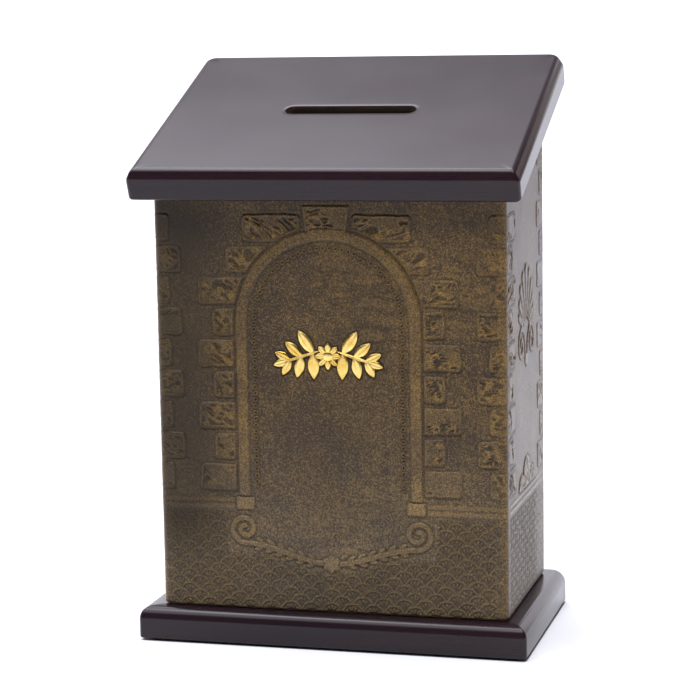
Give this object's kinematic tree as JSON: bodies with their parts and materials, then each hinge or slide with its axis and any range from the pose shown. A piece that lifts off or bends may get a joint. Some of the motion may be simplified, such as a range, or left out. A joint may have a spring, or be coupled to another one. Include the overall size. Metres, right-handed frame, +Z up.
{
  "type": "donation box",
  "caption": "Table-top donation box: leather-covered wooden case on a moulded base board, under a sloping lid board with a coin slot, with a locking door in its back.",
  "frame": {"origin": "middle of the underside it stands on, which is the middle of the case's plan; the lid board and the key reach further back than forward", "axes": "+Z up, -Y towards the front with the ornament, +Y towards the back with the door, +X to the right as seen from the front"},
  "size_m": [0.15, 0.1128, 0.2188],
  "materials": {
    "felt": "black felt sheet",
    "lacquered_wood": "dark mahogany stain under satin lacquer",
    "case_board": "raw fibreboard",
    "plain_wood": "planed softwood",
    "leather": "embossed antique brown, waxed",
    "gold": "polished gold foil",
    "brass": "lacquered brass",
    "zinc_steel": "zinc plated",
    "lock_plating": "bright nickel",
    "key_plating": "nickel plated brass"
  },
  "bodies": {
    "case": {"base_felt": "felt", "base_board": "lacquered_wood", "base_screws": "zinc_steel", "front_panel": "case_board", "side_panel_left": "case_board", "side_panel_right": "case_board", "back_panel": "case_board", "corner_blocks": "plain_wood", "leather_wrap": "leather", "leather_back": "leather", "front_emblem": "gold", "lid_board": "lacquered_wood", "lid_cleat_left": "plain_wood", "lid_cleat_right": "plain_wood", "lid_screws": "zinc_steel", "door_stops": "plain_wood", "hinge_leaf_fixed_upper": "brass", "hinge_leaf_fixed_lower": "brass", "hinge_pin_upper": "brass", "hinge_pin_lower": "brass", "hinge_screws_fixed": "brass"},
    "door": {"door_panel": "case_board", "door_cover": "leather", "hinge_leaf_door_upper": "brass", "hinge_leaf_door_lower": "brass", "hinge_screws_door": "brass", "lock_barrel": "lock_plating", "lock_nut": "zinc_steel"},
    "plug": {"lock_plug": "lock_plating", "lock_cam": "zinc_steel", "cam_screw": "zinc_steel"},
    "key": {"key": "key_plating"}
  },
  "joints": [
    {"name": "door_swing", "type": "hinge", "parent": "case", "child": "door", "pos_m": [0.0424, 0.04175, 0.093], "axis": [0, 0, -1], "range_deg": [0, 170]},
    {"name": "lock_turn", "type": "hinge", "parent": "door", "child": "plug", "pos_m": [-0.026, 0.03925, 0.093], "axis": [0, 1, 0], "range_deg": [0, 90]},
    {"name": "key_withdraw", "type": "slide", "parent": "plug", "child": "key", "axis": [0, 1, 0], "range_m": [0, 0.03]}
  ]
}
